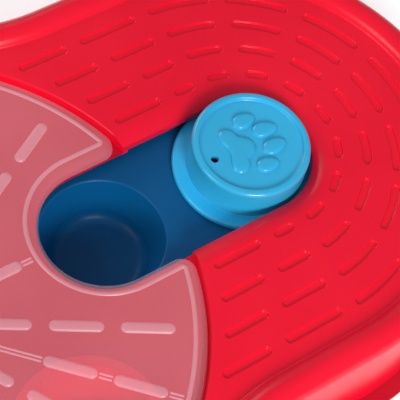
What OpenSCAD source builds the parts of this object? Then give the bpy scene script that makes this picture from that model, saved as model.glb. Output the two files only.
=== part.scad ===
// Push button treat dispenser: a floor toy for dogs. A button slides along a slot to open or cover a
// treat well, and a frosted disc lid with one notch turns over five hidden treat cups.
// X runs from the hub towards the lobe, Z is up, and the feet stand on Z = 0. Millimetres.

/* [Body outline] */
// Width of the deck from the lid's edge to the foot of the rim
deck_margin = 3.805; // [3.405:0.1:12.805]
// Half width of the lobe, at the foot of the rim
lobe_hw = 80.4; // [76:0.1:88]
// Distance from the hub to the centre of the lobe's round end
lobe_x = 139.5; // [136:0.5:160]
// Radius of the hollow bend where the lobe leaves the disc
waist_r = 86.1; // [70:0.1:120]
// Height of the deck above the floor
deck_z = 38; // [36:1:50]

/* [Shell] */
// Wall thickness of the red shell
wall = 2.5; // [1.8:0.1:3]
// Radius of the rolled rim
rim_r = 6.3; // [5.5:0.1:7.5]
// Height of the rim above the deck
rim_h = 4; // [2:0.5:5]
// How far the skirt flares out below the rim
skirt_flare = 3.3; // [1:0.1:6]
// Width of the base pan's lip beyond the skirt
pan_lip = 6; // [2:0.5:10]
// Thickness of the base pan
pan_t = 2; // [1.6:0.2:3]

/* [Slot] */
// Half width of the slot
slot_hw = 24.6; // [23.9:0.1:26]
// Distance from the hub to the well at the slot's inner end
well_x = 81; // [79:0.5:84]
// Distance from the hub to the slot's outer end centre
slot_x = 144.5; // [138:0.5:150]
// Radius of the roll along the slot's edge
roll_r = 14; // [12:1:20]
// Width of the roll along the slot's edge
roll_w = 8.4; // [5:0.1:10]
// Height of the upright lip below the roll
lip_h = 3; // [2:0.1:4]
// Thickness of the guide rail under the slot's edge
rail_t = 1.6; // [1.2:0.1:2.2]
// Distance of the guide rail behind the slot's edge
rail_inset = 1.4; // [1.2:0.1:2]

/* [Deck dashes] */
// Distance of the first dash row from the slot's centre line
row_1 = 34.5; // [34.5:0.5:38]
// Distance from one dash row to the next
row_pitch = 12.3; // [11:0.1:13]
// Number of dash rows
row_count = 4; // [2:1:4]
// Width of a dash
dash_w = 3; // [2:0.1:4]
// Depth of a dash
dash_depth = 0.9; // [0.4:0.1:1.2]
// Gap between two dashes in a row
dash_gap = 6.4; // [5:0.1:11]
// Number of dashes round the lobe's end
end_dashes = 7; // [5:2:9]
// Lean of the last gap line on the straight stretch, in degrees
dash_lean = 23.4; // [15:0.1:28]
// Clear band between the lid's recess and the first dashes
dash_margin = 5; // [4:0.5:8]

/* [Disc lid] */
// Outer radius of the lid
lid_r = 106.195; // [104.195:0.1:107.195]
// Thickness of the lid
lid_t = 2; // [1.6:0.1:2.4]
// Depth of the recess that holds the lid
recess_depth = 5.3; // [5:0.1:6.5]
// Gap between the lid's edge and the wall of its recess
lid_side_gap = 0.53; // [0.43:0.1:1.53]
// Gap under the lid's edge
lid_under_gap = 0.3; // [0.2:0.05:0.6]
// Half width of the lid's notch
notch_hw = 23.9; // [23.6:0.1:24.5]
// Radius of the notch's outer corners in plan
notch_corner_r = 7.96; // [7.46:0.1:9.96]
// Radius of the bead line along the lid's edges
bead_r = 0.9; // [0.5:0.1:1.2]
// Number of radial places round the lid
lid_rows = 24; // [15:1:27]
// How far the rows are turned from the notch's axis, in degrees
row_turn = -0.8; // [-3:0.1:3]
// Every how many places a row carries a rib
rib_every = 3; // [2:1:4]
// Length of a raised dash on the lid
lid_dash_l = 19; // [12:1:20]
// Gap between two raised dashes of a row
lid_dash_gap = 6; // [4:0.5:8]
// Width of a raised dash
lid_dash_w = 4; // [2:0.1:4.5]
// Height of a raised dash
lid_dash_h = 0.8; // [0.4:0.1:1.2]
// Radius at which the outermost raised dashes end
lid_dash_r = 94; // [90:0.5:96]
// Distance from the lid's hub to the single dash before the notch
lid_first_gap = 10; // [8:0.5:12]

/* [Tray] */
// Depth of the channel floor below the deck
channel_depth = 12; // [11.5:0.1:14]
// Wall thickness of the tray
tray_t = 2; // [1.4:0.1:2.4]
// Gap between the button's flange and the channel wall
channel_gap = 1; // [0.5:0.1:1.5]
// Radius of the well at the channel floor
well_r = 23.4; // [21:0.1:23.6]
// Radius of the post that carries the well
well_post_r = 13; // [10:0.5:14]
// Radius of the round at the foot of the well's wall
well_foot_r = 5; // [3:0.5:6]
// Radius at the foot of the well's wall, before the round
well_low_r = 19; // [18:0.5:21]
// Depth of the well below the channel floor
well_depth = 18.5; // [12:0.5:18.5]

/* [Button] */
// Radius of the button's top
cap_r = 22.7; // [20:0.1:22.9]
// How much wider the button is at its foot
cap_draft = 0.3; // [0:0.1:0.5]
// Height of the button's rim above the deck
cap_rise = 5.5; // [3:0.5:8]
// Wall thickness of the button
cap_t = 2.2; // [1.6:0.1:2.6]
// Width of the button's raised rim
cap_rim_w = 2.9; // [2:0.1:4]
// Depth of the dished top inside the rim
cap_dish = 1.3; // [0.6:0.1:2]
// Radius of the rounded edge at the button's top
cap_edge_r = 1.4; // [0.8:0.1:1.4]
// Radius of the flange
flange_r = 28.3; // [27.2:0.1:29]
// Thickness of the flange
flange_t = 2.4; // [2:0.1:2.4]
// Running gap between the flange and the channel floor
slide_gap = 0.1; // [0.05:0.05:0.2]
// Height of the paw print above the dished top
paw_h = 0.8; // [0.4:0.1:1]
// Radius of the drain hole
drain_r = 1.5; // [1:0.1:2]
// Distance of the drain hole from the button's centre
drain_x = 15.5; // [14:0.5:16.5]

/* [Treat cups] */
// Number of hidden cups
cup_count = 5; // [3:1:5]
// Distance of a cup's centre in from the lid's edge
cup_inset = 32.195; // [31.495:0.1:34.195]
// Radius of a cup's mouth
cup_r = 24; // [20:0.5:25]
// Width of a cup's lip
cup_lip = 2; // [1.5:0.1:2.5]
// Thickness of a cup's lip
cup_lip_t = 1.2; // [0.8:0.1:1.6]
// Wall thickness of a cup
cup_t = 1.6; // [1.2:0.1:2]
// Depth of a cup
cup_depth = 20; // [12:0.5:22]
// How much narrower a cup is at its floor
cup_draft = 4; // [1:0.5:6]

/* [Hub] */
// Radius of the spindle that the lid turns on
spindle_r = 6; // [5:0.1:7]
// Running gap round the spindle
spindle_fit = 0.06; // [0.02:0.01:0.1]
// Radius of the spindle's head
head_r = 10; // [9:0.5:11]
// Thickness of the spindle's head
head_t = 1.6; // [1.2:0.1:2]
// Radius of the hub cap
hub_cap_r = 13; // [12:0.5:14]
// Thickness of the bearing washer
washer_t = 1; // [0.6:0.1:1.2]

/* [Fasteners and feet] */
// Radius of the screws' shanks
screw_r = 1.45; // [1.2:0.05:1.6]
// Radius of the screws' heads
screw_head_r = 3; // [2.6:0.1:3.4]
// Height of the screws' heads
screw_head_h = 1.6; // [1.2:0.1:2]
// Radius of the screw bosses
boss_r = 4; // [3.5:0.1:5]
// Depth of the screw holes in the bosses
boss_bore = 12; // [11.5:0.5:16]
// Distance of the disc end's bosses in from the foot of the rim
hub_boss_inset = 11; // [10:0.5:13]
// Distance of the lobe's bosses in from the foot of the rim
lobe_boss_inset = 10; // [9:0.5:12]
// Radius of a foot
foot_r = 9; // [7:0.5:11]
// Height of a foot below the pan
foot_h = 2; // [1.5:0.1:2.5]
// Distance of the feet in from the foot of the rim
foot_inset = 5; // [3:0.5:8]

/* [Hidden] */
$fn = 120;
cut = 1;                       // how far a cutting solid runs past what it cuts
snug = 0.1;                    // radial play of a plug or a screw in its hole
touch = 0.3;                   // gap between pieces that move past each other
rest = 0.05;                   // gap between the lid's hub and its washer
end_grow = 0.05;               // how much the round end of a curved dash is wider than the dash

// Rim section, from the foot of the rim outwards
rim_cz = rim_h - rim_r;
rim_cx = sqrt(rim_r * rim_r - rim_cz * rim_cz);
rim_out = rim_cx + rim_r;
rim_tuck = 0.3;                // how far the skirt starts inside the rim's widest line
bore_tuck = 0.5;               // the same inside the shell
skirt_out = rim_out + skirt_flare;
pan_top = foot_h + pan_t - deck_z;          // all heights below are from the deck
pan_out = skirt_out + pan_lip;
deck_lap = rim_cx / 4;         // how far the deck reaches into the rim
spigot_h = 4;                  // upright edge of the pan inside the skirt
spigot_t = 2;
spigot_out = skirt_out - wall - snug - (skirt_flare + bore_tuck) * spigot_h / (rim_cz - pan_top);

// Outline
disc_r = lid_r + deck_margin;
waist_x = sqrt((disc_r + waist_r) ^ 2 - (lobe_hw + waist_r) ^ 2);
waist_y = lobe_hw + waist_r;
hub_x = -((lobe_x + lobe_hw) - disc_r) / 2; // puts the part's centre on the origin

// Recess and slot
recess_r = lid_r + lid_side_gap;
recess_edge_r = 1;
recess_z = -recess_depth;
floor_r = recess_r + wall;
roll_drop = roll_r - sqrt(roll_r * roll_r - roll_w * roll_w);
lip_z = -roll_drop - lip_h;
flange_low = slide_gap - channel_depth;
flange_top = flange_low + flange_t;
rail_z = flange_top + touch;
rail_in = slot_hw + rail_inset;

// Tray
tray_r = flange_r + channel_gap + tray_t;
tray_top = recess_z - wall;
tray_low = -channel_depth - tray_t;
well_low = -channel_depth - well_depth;
ear_r = 4.5;
ear_t = 3;
ear_gap = 1.7;                 // gap between an ear's round and the channel's wall
ear_bore = 4.5;
ear_shank = ear_t + 1.5;
ear_d = tray_r + ear_r + ear_gap;
floor_ear = [well_x, 180];
shell_ears = [[well_x + ear_d, 90], [well_x + ear_d, 270], [slot_x, 50], [slot_x, 310]];
tray_ears = concat([floor_ear], shell_ears);

// Button
cap_top = cap_rise;
cap_foot_r = cap_r + cap_draft;
cap_inner_r = cap_r - cap_t;
post_r = 3;
post_d = 13;
post_turn = 45;
post_bore = 9;
plug_h = 2;                    // height of the flange's plug inside the cap
cap_shank = 8;

// Lid
lid_edge_r = recess_depth - lid_under_gap;  // radius of the lid's rolled edge, which is also its height
lid_low = -lid_edge_r;
lid_lap = 0.5;                              // overlap of the lid's plate and its edge
strip_w = notch_corner_r - 2 * lid_lap;     // width of the notch's edge strip
corner_y = notch_hw + notch_corner_r;
corner_x = sqrt((lid_r - notch_corner_r) ^ 2 - corner_y * corner_y);
lid_hub_r = 15;
washer_z = recess_z + washer_t;
lid_hub_top = 0.8;
rib_w = 0.6;                                // width of each of a rib's two lines
rib_gap = 0.8;                              // between the two lines
rib_h = 0.5;
lid_inner_r = 2;                            // how far the washer stays inside the lid's hub

// Hub
head_z = lid_hub_top + touch;
hub_post_z = -20;
hub_post_r = 9;
hub_tip_gap = 3;               // how far the hub screw ends below the spindle's head
hub_dome_r = 40;
hub_crown = 2.6;               // height of the hub cap above the spindle's head

// Cups
cup_circle_r = lid_r - cup_inset;
cup_pitch = 60;
cup_seat_z = recess_z - cup_lip_t;          // the lip lies flush in the floor, so that the lid clears it
cup_hole_r = cup_r + cup_t + snug;
cup_seat_r = cup_r + cup_t + cup_lip + snug;

// Screws that join shell and pan: [distance from centre, angle] round the hub and round the lobe's end
collar_h = 3;                  // height of the pan's collars, which the bosses stand on
collar_web = 2;                // thickness under a screw's head
collar_wall = 2;
shell_shank = 11;
boss_z = pan_top + collar_h;
hub_bosses = [for (a = [30, 90, 150, 210, 270, 330]) [disc_r - hub_boss_inset, a]];
lobe_bosses = [for (a = [-50, 0, 50]) [lobe_hw - lobe_boss_inset, a]];
feet_hub = [for (a = [125, 235, 60, 300]) [disc_r - foot_inset, a]];
feet_lobe = [for (a = [35, -35]) [lobe_hw - foot_inset, a]];
stem_r = 2.9;
barb_r = 4;
barb_tip_r = 1.9;
barb_h = 1.5;

// ---- Helpers: the two outlines that the body's sections follow ----

// Everything is drawn round the hub and measured from the deck, then placed here
module placed() {
    translate([hub_x, 0, deck_z]) children();
}

// Flat outline of the body, grown outwards by o
module outline(o) {
    circle(disc_r + o);
    translate([lobe_x, 0]) circle(lobe_hw + o);
    translate([waist_x, -lobe_hw - o]) square([lobe_x - waist_x, 2 * (lobe_hw + o)]);
    for (s = [-1, 1]) difference() {
        polygon([[0, 0], [waist_x, s * waist_y], [waist_x, 0]]);
        translate([waist_x, s * waist_y]) circle(waist_r - o);
    }
}

// Sweeps a section along the body's outline. In the section X is the distance outwards.
module sweep_outline() {
    difference() {
        rotate_extrude() translate([disc_r, 0]) children();
        translate([0, 0, -deck_z]) linear_extrude(2 * deck_z)
            polygon([[0, 0], [2 * waist_x, 2 * waist_y], [2 * waist_x, -2 * waist_y]]);
    }
    for (s = [-1, 1]) intersection() {
        translate([waist_x, s * waist_y, 0]) rotate_extrude() translate([waist_r, 0]) mirror([1, 0])
            children();
        translate([0, 0, -deck_z]) linear_extrude(2 * deck_z)
            polygon([[0, 0], [waist_x, s * waist_y], [waist_x, 0]]);
    }
    translate([waist_x, lobe_hw, 0]) rotate([90, 0, 90]) linear_extrude(lobe_x - waist_x) children();
    translate([lobe_x, -lobe_hw, 0]) rotate([90, 0, -90]) linear_extrude(lobe_x - waist_x) children();
    translate([lobe_x, 0, 0]) rotate([0, 0, -90]) rotate_extrude(angle = 180) translate([lobe_hw, 0])
        children();
}

// Flat stadium round the slot's centre line, d wide to each side
module stadium(d) {
    translate([well_x, 0]) circle(d);
    translate([slot_x, 0]) circle(d);
    translate([well_x, -d]) square([slot_x - well_x, 2 * d]);
}

// Sweeps a section round the slot. In the section X is the distance from the slot's centre line.
module sweep_slot() {
    translate([well_x, 0, 0]) rotate([0, 0, 90]) rotate_extrude(angle = 180) children();
    translate([slot_x, 0, 0]) rotate([0, 0, -90]) rotate_extrude(angle = 180) children();
    translate([well_x, 0, 0]) rotate([90, 0, 90]) linear_extrude(slot_x - well_x) children();
    translate([slot_x, 0, 0]) rotate([90, 0, -90]) linear_extrude(slot_x - well_x) children();
}

// A flat bar with round ends from a to b
module bar(a, b, w) {
    along = b - a;
    translate(a) circle(w / 2);
    translate(b) circle(w / 2);
    translate(a) rotate(atan2(along[1], along[0])) translate([0, -w / 2]) square([norm(along), w]);
}

// A flat curved bar with round ends, on radius r from angle a to angle b
module arc_bar(r, a, b, w) {
    for (t = [a, b]) rotate(t) translate([r, 0]) circle(w / 2 + end_grow);
    intersection() {
        difference() {
            circle(r + w / 2);
            circle(r - w / 2);
        }
        polygon([[0, 0], [2 * r * cos(a), 2 * r * sin(a)], [2 * r * cos(b), 2 * r * sin(b)]]);
    }
}

// ---- Top shell ----

module rim_section() {
    difference() {
        union() {
            translate([rim_cx, rim_cz]) rotate(90) circle(rim_r);
            polygon([[rim_cx, rim_cz], [rim_out - rim_tuck, rim_cz], [skirt_out, pan_top],
                [skirt_out - wall, pan_top]]);
        }
        translate([rim_cx, rim_cz]) rotate(90) circle(rim_r - wall);
        polygon([[-cut - rim_r, -wall], [rim_cx, -wall], [rim_cx, rim_cz],
            [rim_out - wall - bore_tuck, rim_cz], [skirt_out - wall, pan_top],
            [skirt_out - wall, pan_top - cut], [-cut - rim_r, pan_top - cut]]);
    }
}

module roll_section() {
    difference() {
        union() {
            intersection() {
                translate([slot_hw + roll_w, -roll_r]) circle(roll_r);
                translate([slot_hw, lip_z]) square([roll_w, -lip_z]);
            }
            translate([slot_hw, lip_z]) square([wall, lip_h]);
        }
        translate([slot_hw + wall, lip_z - cut]) square([roll_w, -lip_z - roll_drop + cut - wall / 2]);
        intersection() {
            translate([slot_hw + roll_w, -roll_r]) circle(roll_r - wall);
            translate([slot_hw + wall, lip_z - cut]) square([roll_w, -lip_z + cut]);
        }
    }
    rail_section();
}

// The guide rail, from its lower edge up into the roll
module rail_section() {
    translate([rail_in, rail_z]) square([rail_t, -rail_z - roll_drop - wall / 2]);
}

// What the roll takes away above itself
module over_roll_section() {
    difference() {
        translate([slot_hw - cut, -roll_drop]) square([roll_w + cut, roll_drop + cut]);
        translate([slot_hw + roll_w, -roll_r]) circle(roll_r);
    }
}

// Dash rows ease from the slot's round end to the lobe's round end
function row_x(d) = slot_x + (lobe_x - slot_x) * (d - slot_hw) / (lobe_hw - slot_hw);

module dash_row(d) {
    c = row_x(d);
    half = (dash_gap + dash_w) / 2;
    step = 180 / end_dashes;
    half_a = asin(half / d);
    start = sqrt((recess_r + dash_margin) ^ 2 - d * d) + dash_w / 2;
    lean_x = c - d * tan(dash_lean);
    translate([c, 0]) for (k = [0 : end_dashes - 1])
        arc_bar(d, -90 + k * step + half_a, -90 + (k + 1) * step - half_a, dash_w);
    for (s = [-1, 1]) {
        bar([start, s * d], [lean_x - half, s * d], dash_w);
        if (lean_x + half < c - half) bar([lean_x + half, s * d], [c - half, s * d], dash_w);
    }
}

module boss(place, low, high, bore_depth) {
    rotate(place[1]) translate([place[0], 0, low]) difference() {
        cylinder(r = boss_r, h = high - low);
        translate([0, 0, -cut]) cylinder(r = screw_r + snug / 2, h = bore_depth + cut);
    }
}

// The boss that takes the screw of a tray ear
module ear_boss(e, high) {
    translate([e[0], 0, 0]) boss([ear_d, e[1]], tray_low + ear_t, high, ear_bore);
}

module slot_hole() {
    translate([0, 0, tray_top - cut]) linear_extrude(-tray_top + 2 * cut) stadium(slot_hw);
}

module top_shell() color("crimson") placed() {
    difference() {
        union() {
            sweep_outline() rim_section();
            translate([0, 0, -wall]) linear_extrude(wall) difference() {
                outline(deck_lap);
                stadium(slot_hw + roll_w);
                circle(recess_r);
            }
            translate([0, 0, recess_z]) difference() {
                cylinder(r = floor_r, h = recess_depth);
                translate([0, 0, -cut]) cylinder(r = recess_r, h = recess_depth + 2 * cut);
            }
            difference() {
                sweep_slot() roll_section();
                translate([0, 0, recess_z - cut]) cylinder(r = recess_r, h = recess_depth + 2 * cut);
                translate([0, 0, -channel_depth]) cylinder(r = floor_r, h = channel_depth + recess_z);
            }
            translate([lobe_x, 0, 0]) for (b = lobe_bosses) boss(b, boss_z, -wall, boss_bore);
            for (e = shell_ears) ear_boss(e, -wall);
        }
        sweep_slot() over_roll_section();
        slot_hole();
        rotate_extrude() difference() {
            translate([recess_r - cut, -recess_edge_r]) square([recess_edge_r + cut, recess_edge_r + cut]);
            translate([recess_r + recess_edge_r, -recess_edge_r]) circle(recess_edge_r);
        }
        translate([0, 0, -dash_depth]) linear_extrude(dash_depth + cut)
            for (i = [0 : row_count - 1]) dash_row(row_1 + i * row_pitch);
    }
}

// ---- Floor under the lid ----

module lid_floor() color("crimson") placed() difference() {
    union() {
        translate([0, 0, tray_top]) cylinder(r = floor_r, h = wall);
        intersection() {
            sweep_slot() rail_section();
            translate([0, 0, -channel_depth]) cylinder(r = floor_r, h = channel_depth + recess_z);
        }
        for (b = hub_bosses) boss(b, boss_z, tray_top, boss_bore);
        ear_boss(floor_ear, tray_top);
    }
    slot_hole();
    for (k = [1 : cup_count]) rotate(k * cup_pitch) translate([cup_circle_r, 0, 0]) {
        translate([0, 0, tray_top - cut]) cylinder(r = cup_hole_r, h = wall + 2 * cut);
        translate([0, 0, cup_seat_z]) cylinder(r = cup_seat_r, h = cup_lip_t + cut);
    }
    translate([0, 0, tray_top - cut]) cylinder(r = screw_r + snug, h = wall + 2 * cut);
}

// ---- Tray ----

module tray_place(e) {
    translate([e[0], 0, 0]) rotate(e[1]) translate([ear_d, 0, 0]) children();
}

module slide_tray() color("midnightblue") placed() difference() {
    union() {
        translate([0, 0, tray_low]) linear_extrude(tray_top - tray_low) stadium(tray_r);
        for (e = tray_ears) tray_place(e) translate([0, 0, tray_low]) {
            cylinder(r = ear_r, h = ear_t);
            translate([-ear_d + tray_r - tray_t, -ear_r, 0])
                cube([ear_d - tray_r + tray_t, 2 * ear_r, ear_t]);
        }
        translate([well_x, 0, 0]) rotate_extrude() well_section(tray_t);
    }
    translate([0, 0, -channel_depth]) linear_extrude(channel_depth) stadium(tray_r - tray_t);
    translate([well_x, 0, 0]) rotate_extrude() well_section(0);
    for (e = tray_ears) tray_place(e) translate([0, 0, tray_low - cut])
        cylinder(r = screw_r + snug, h = ear_t + 2 * cut);
}

// Section of the well: grow is 0 for the hollow and the wall's thickness for the outside
module well_section(grow) {
    foot_z = well_low + well_foot_r;
    foot_x = well_low_r - well_foot_r;
    top_z = grow == 0 ? cut - channel_depth : -channel_depth;
    polygon([[0, top_z], [well_r + grow, top_z], [well_r + grow, -channel_depth], [well_low_r + grow, foot_z],
        [0, foot_z]]);
    translate([0, well_low - grow]) square([foot_x, well_foot_r + grow]);
    intersection() {
        translate([foot_x, foot_z]) circle(well_foot_r + grow);
        translate([0, well_low - grow]) square([well_low_r + grow, well_foot_r + grow]);
    }
}

// ---- Button ----

module button_place() {
    placed() translate([slot_x, 0, 0]) children();
}

module cap_section() {
    inner_top = cap_top - cap_dish - cap_t;
    difference() {
        union() {
            polygon([[0, flange_top], [cap_foot_r, flange_top], [cap_r, cap_top - cap_edge_r],
                [0, cap_top - cap_edge_r]]);
            square([cap_r - cap_edge_r, cap_top]);
            translate([cap_r - cap_edge_r, cap_top - cap_edge_r]) circle(cap_edge_r);
        }
        translate([0, cap_top - cap_dish]) square([cap_r - cap_rim_w, cap_dish + cut]);
        translate([0, flange_top - cut]) square([cap_inner_r, inner_top - flange_top + cut]);
    }
}

// Paw print of four toes and a three-lobed pad, toes outwards
module paw() {
    toes = [[4.2, 8.6, 58], [9.2, 3.2, 20], [9.2, -3.2, -20], [4.2, -8.6, -58]];
    for (t = toes) translate([t[0], t[1]]) rotate(t[2]) {
        circle(2.3);
        translate([1.6, 0]) circle(2.0);
        translate([3.6, 0]) circle(1.1);
        polygon([[1.6, -2.0], [3.9, -1.05], [3.9, 1.05], [1.6, 2.0]]);
    }
    bar([-5.6, -6.6], [-3.4, 0], 5.2);
    bar([-5.6, 6.6], [-3.4, 0], 5.2);
    bar([-3.4, 0], [0.2, 0], 6.4);
}

module button_cap() color("deepskyblue") button_place() {
    difference() {
        union() {
            rotate_extrude() cap_section();
            translate([0, 0, cap_top - cap_dish - cut]) linear_extrude(paw_h + cut) paw();
            for (k = [0 : 3]) rotate(post_turn + 90 * k) translate([post_d, 0, flange_top])
                cylinder(r = post_r, h = cap_top - cap_dish - cap_t / 2 - flange_top);
        }
        translate([-drain_x, 0, cap_top - cap_dish - cap_t - cut]) cylinder(r = drain_r, h = cap_t + 2 * cut);
        for (k = [0 : 3]) rotate(post_turn + 90 * k) translate([post_d, 0, flange_top - cut])
            cylinder(r = screw_r + snug / 2, h = post_bore + cut);
    }
}

module button_flange() color("dodgerblue") button_place() difference() {
    translate([0, 0, flange_low]) {
        cylinder(r = flange_r, h = flange_t);
        cylinder(r = cap_inner_r - snug, h = flange_t + plug_h);
    }
    for (k = [0 : 3]) rotate(post_turn + 90 * k) translate([post_d, 0, flange_low - cut]) {
        cylinder(r = screw_r + snug, h = flange_t + 2 * cut);
        translate([0, 0, flange_t + cut]) cylinder(r = post_r + snug, h = plug_h + 2 * cut);
        cylinder(r = screw_head_r + snug, h = cut + flange_t / 2);
    }
    translate([-drain_x, 0, flange_low - cut]) cylinder(r = drain_r, h = flange_t + 4 * cut);
}

// A screw with its head below and its shank above, with the head's seat at Z = 0
module screw(shank, head_h) {
    translate([0, 0, -head_h]) cylinder(r = screw_head_r, h = head_h);
    cylinder(r = screw_r, h = shank);
    translate([0, 0, shank]) cylinder(r1 = screw_r, r2 = screw_r / 3, h = screw_r, $fn = 60);
}

module button_screws() color("silver") button_place()
    for (k = [0 : 3]) rotate(post_turn + 90 * k) translate([post_d, 0, flange_low + flange_t / 2])
        screw(cap_shank, flange_t / 2);

// ---- Disc lid ----

// Section of the lid's rolled edge, w wide. X is the distance inwards from the edge.
module lid_edge_section(w) {
    intersection() {
        translate([lid_edge_r, -lid_edge_r]) difference() {
            circle(lid_edge_r);
            circle(lid_edge_r - lid_t);
        }
        translate([0, lid_low]) square([lid_edge_r + bead_r / 4, lid_edge_r]);
    }
    translate([lid_edge_r - bead_r / 2, -lid_t])
        square([w - lid_edge_r + bead_r / 2, lid_t]);
    translate([lid_edge_r, -bead_r / 2]) circle(bead_r);
}

// The same section placed on the outside of a circle of radius r
module lid_edge_on(r) {
    translate([r, 0]) mirror([1, 0]) lid_edge_section(notch_corner_r - lid_lap);
}

// Raised dashes of one row. The row on the notch's axis has a single dash near the hub.
module lid_row(k) {
    pitch = lid_dash_l + lid_dash_gap;
    half = lid_dash_w / 2;
    rotate(row_turn + k * 360 / lid_rows)
        if (k == 0) translate([lid_hub_r + lid_first_gap, 0]) bar([0, 0], [lid_dash_l, 0], lid_dash_w);
        else for (i = [0 : k % rib_every == 0 ? 1 : 2]) translate([lid_dash_r - i * pitch, 0])
            bar([half - lid_dash_l, 0], [-half, 0], lid_dash_w);
}

module lid_rib(k) {
    high = k == 0 ? well_x - notch_hw - strip_w : lid_r - lid_edge_r - bead_r / 2;
    rotate(row_turn + k * 360 / lid_rows) for (s = [-1, 1])
        translate([lid_hub_r, (s * (rib_w + rib_gap) - rib_w) / 2]) square([high - lid_hub_r, rib_w]);
}

module disc_lid() color("mistyrose", 0.6) placed() difference() {
    union() {
        translate([0, 0, -lid_t]) linear_extrude(lid_t) difference() {
            circle(lid_r - notch_corner_r + 2 * lid_lap);
            translate([well_x, 0]) circle(notch_hw + strip_w);
            translate([well_x, -notch_hw - strip_w]) square([lid_r, 2 * (notch_hw + strip_w)]);
        }
        difference() {
            rotate_extrude() lid_edge_on(lid_r);
            translate([0, 0, -deck_z]) linear_extrude(2 * deck_z)
                polygon([[0, 0], [2 * corner_x, 2 * corner_y], [2 * corner_x, -2 * corner_y]]);
        }
        for (s = [-1, 1]) intersection() {
            translate([corner_x, s * corner_y, 0]) rotate_extrude() lid_edge_on(notch_corner_r);
            translate([0, 0, -deck_z]) linear_extrude(2 * deck_z)
                polygon([[corner_x, 0], [corner_x, s * corner_y], [2 * corner_x, 2 * s * corner_y],
                    [2 * corner_x, 0]]);
        }
        translate([0, 0, washer_z + rest]) cylinder(r = lid_hub_r, h = lid_hub_top - washer_z - rest);
        linear_extrude(lid_dash_h) for (k = [0 : lid_rows - 1]) if (k != 1 && k != lid_rows - 1) lid_row(k);
        linear_extrude(rib_h) for (k = [0 : rib_every : lid_rows - 1]) lid_rib(k);
    }
    translate([0, 0, washer_z - cut])
        cylinder(r = spindle_r + spindle_fit, h = lid_hub_top - washer_z + 2 * cut);
}

// The rolled edge along the notch, moulded with the lid
module lid_notch_edge() color("mistyrose", 0.6) placed() {
    translate([well_x, notch_hw, 0]) rotate([90, 0, 90]) linear_extrude(corner_x - well_x)
        lid_edge_section(strip_w);
    translate([corner_x, -notch_hw, 0]) rotate([90, 0, -90]) linear_extrude(corner_x - well_x)
        lid_edge_section(strip_w);
    translate([well_x, 0, 0]) rotate([0, 0, 90]) rotate_extrude(angle = 180) translate([notch_hw, 0])
        lid_edge_section(strip_w);
}

// ---- Hub ----

module hub_spindle() color("crimson") placed() difference() {
    union() {
        translate([0, 0, recess_z]) cylinder(r = spindle_r, h = head_z - recess_z);
        translate([0, 0, head_z]) cylinder(r = head_r, h = head_t);
    }
    translate([0, 0, recess_z - cut]) cylinder(r = screw_r + snug / 2, h = head_z - recess_z);
}

module hub_cap() color("red") placed() translate([0, 0, head_z]) difference() {
    intersection() {
        cylinder(r = hub_cap_r, h = head_t + hub_crown + cut);
        translate([0, 0, head_t + hub_crown - hub_dome_r]) sphere(r = hub_dome_r);
    }
    translate([0, 0, -cut]) cylinder(r = head_r + snug, h = head_t + cut);
}

module hub_washer() color("white") placed() translate([0, 0, recess_z]) difference() {
    cylinder(r = lid_hub_r - lid_inner_r, h = washer_t);
    translate([0, 0, -cut]) cylinder(r = spindle_r + snug, h = washer_t + 2 * cut);
}

// The post under the floor, which the hub screw clamps against it
module hub_post() color("crimson") placed() translate([0, 0, hub_post_z]) difference() {
    cylinder(r = hub_post_r, h = tray_top - hub_post_z);
    translate([0, 0, -cut]) cylinder(r = screw_r + snug, h = tray_top - hub_post_z + 2 * cut);
}

module hub_screw() color("silver") placed() translate([0, 0, hub_post_z])
    screw(head_z - hub_post_z - hub_tip_gap, screw_head_h);

// ---- Treat cups ----

module treat_cup(k) color("red") placed() rotate(k * cup_pitch) translate([cup_circle_r, 0, cup_seat_z])
    difference() {
        union() {
            cylinder(r = cup_r + cup_t + cup_lip, h = cup_lip_t);
            translate([0, 0, -cup_depth - cup_t]) rotate_extrude()
                polygon([[0, 0], [cup_r + cup_t - cup_draft, 0], [cup_r + cup_t, cup_depth + cup_t],
                    [0, cup_depth + cup_t]]);
        }
        translate([0, 0, -cup_depth]) rotate_extrude()
            polygon([[0, 0], [cup_r - cup_draft, 0], [cup_r, cup_depth + cup_lip_t + cut],
                [0, cup_depth + cup_lip_t + cut]]);
    }

module treat_cup_1() treat_cup(1);
module treat_cup_2() treat_cup(2);
module treat_cup_3() treat_cup(3);
module treat_cup_4() treat_cup(4);
module treat_cup_5() treat_cup(5);

// ---- Base pan and feet ----

module foot_places() {
    for (f = feet_hub) rotate(f[1]) translate([f[0], 0, 0]) children();
    translate([lobe_x, 0, 0]) for (f = feet_lobe) rotate(f[1]) translate([f[0], 0, 0]) children();
}

module screw_places() {
    for (b = hub_bosses) rotate(b[1]) translate([b[0], 0, 0]) children();
    translate([lobe_x, 0, 0]) for (b = lobe_bosses) rotate(b[1]) translate([b[0], 0, 0]) children();
}

module base_pan() color("firebrick") placed() difference() {
    union() {
        translate([0, 0, pan_top - pan_t]) linear_extrude(pan_t) outline(pan_out);
        sweep_outline() translate([spigot_out - spigot_t, pan_top]) square([spigot_t, spigot_h]);
        screw_places() translate([0, 0, pan_top - pan_t])
            cylinder(r = boss_r + collar_wall, h = collar_h + pan_t);
        translate([well_x, 0, pan_top]) cylinder(r = well_post_r, h = well_low - tray_t - pan_top);
    }
    screw_places() translate([0, 0, pan_top - pan_t - cut]) {
        cylinder(r = screw_r + snug, h = collar_h + pan_t + 2 * cut);
        cylinder(r = screw_head_r + touch, h = cut + collar_h + pan_t - collar_web);
    }
    foot_places() translate([0, 0, pan_top - pan_t - cut]) cylinder(r = stem_r + snug, h = pan_t + 2 * cut);
}

module shell_screws() color("silver") placed() screw_places()
    translate([0, 0, boss_z - collar_web]) screw(shell_shank, screw_head_h);

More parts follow.
